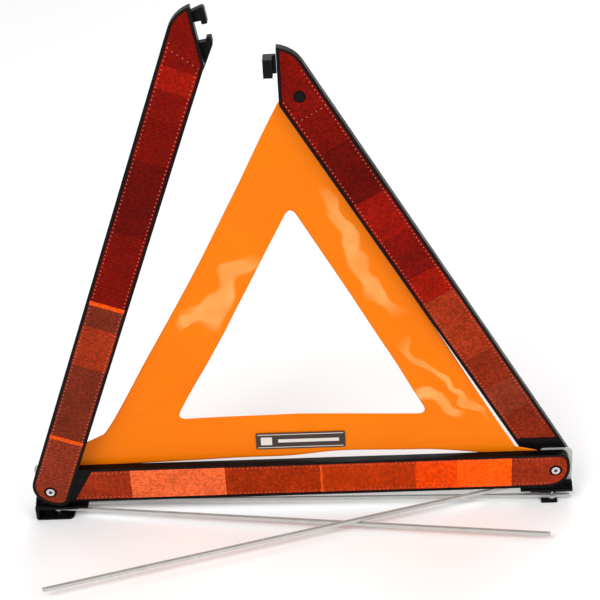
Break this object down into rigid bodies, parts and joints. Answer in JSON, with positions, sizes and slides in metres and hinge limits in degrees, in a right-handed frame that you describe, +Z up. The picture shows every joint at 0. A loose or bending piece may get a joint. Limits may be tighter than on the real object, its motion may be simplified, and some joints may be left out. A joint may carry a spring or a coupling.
{
  "type": "warning triangle",
  "caption": "Folding roadside warning triangle: red reflector arms, an orange film with a triangular opening, a snap latch and swing-out steel legs.",
  "frame": {"origin": "middle of the bottom of the whole part's box, on the surface it stands on", "axes": "+X to the right along the base arm, +Y to the rear, +Z up"},
  "size_m": [0.4396, 0.1486, 0.4389],
  "materials": {
    "black_plastic": "satin black moulded plastic",
    "red_lens": "glossy red prismatic reflector",
    "backing_sheet": "dark red sealed backing",
    "orange_film": "glossy fluorescent orange film",
    "label_print": "matt dark brown plain label",
    "galvanised_steel": "zinc-coated steel",
    "rivet_metal": "bright tubular rivet"
  },
  "bodies": {
    "base": {"base_arm_housing": "black_plastic", "base_arm_backing": "backing_sheet", "base_arm_lens": "red_lens", "left_pivot_rivet": "rivet_metal", "right_pivot_rivet": "rivet_metal", "left_hinge_plate": "galvanised_steel", "right_hinge_plate": "galvanised_steel", "left_foot_block": "black_plastic", "right_foot_block": "black_plastic", "left_foot_shoe": "black_plastic", "right_foot_shoe": "black_plastic", "left_front_leg_pin": "rivet_metal", "left_rear_leg_pin": "rivet_metal", "right_front_leg_pin": "rivet_metal", "right_rear_leg_pin": "rivet_metal", "warning_film": "orange_film", "film_label": "label_print"},
    "left_arm": {"left_arm_housing": "black_plastic", "left_arm_backing": "backing_sheet", "left_arm_lens": "red_lens", "latch_upper_jaw": "black_plastic", "latch_lower_jaw": "black_plastic", "latch_web": "black_plastic"},
    "right_arm": {"right_arm_housing": "black_plastic", "right_arm_backing": "backing_sheet", "right_arm_lens": "red_lens", "latch_lug": "black_plastic", "film_stud": "black_plastic", "film_stud_cap": "black_plastic"},
    "left_front_leg": {"left_front_leg": "galvanised_steel"},
    "left_rear_leg": {"left_rear_leg": "galvanised_steel"},
    "right_front_leg": {"right_front_leg": "galvanised_steel"},
    "right_rear_leg": {"right_rear_leg": "galvanised_steel"}
  },
  "joints": [
    {"name": "left_arm_hinge", "type": "hinge", "parent": "base", "child": "left_arm", "pos_m": [-0.20425, 0.0246, 0.0312], "axis": [0, 1, 0], "range_deg": [-20.7, 64.5], "deforming": ["latch_upper_jaw", "latch_lower_jaw", "latch_web"]},
    {"name": "right_arm_hinge", "type": "hinge", "parent": "base", "child": "right_arm", "pos_m": [0.20575, 0.0421, 0.0312], "axis": [0, -1, 0], "range_deg": [-1.1, 55.8], "deforming": ["warning_film"]},
    {"name": "left_front_leg_pivot", "type": "hinge", "parent": "base", "child": "left_front_leg", "pos_m": [-0.20225, 0.0337, 0.0062], "axis": [0, 0, 1], "range_deg": [-72.3, 7.7]},
    {"name": "left_rear_leg_pivot", "type": "hinge", "parent": "base", "child": "left_rear_leg", "pos_m": [-0.20625, 0.0447, 0.0062], "axis": [0, 0, 1], "range_deg": [-4, 76]},
    {"name": "right_front_leg_pivot", "type": "hinge", "parent": "base", "child": "right_front_leg", "pos_m": [0.20375, 0.0337, 0.0032], "axis": [0, 0, 1], "range_deg": [0, 81.8]},
    {"name": "right_rear_leg_pivot", "type": "hinge", "parent": "base", "child": "right_rear_leg", "pos_m": [0.18775, 0.0447, 0.0094], "axis": [0, 0, 1], "range_deg": [-101.9, 8.1]}
  ]
}
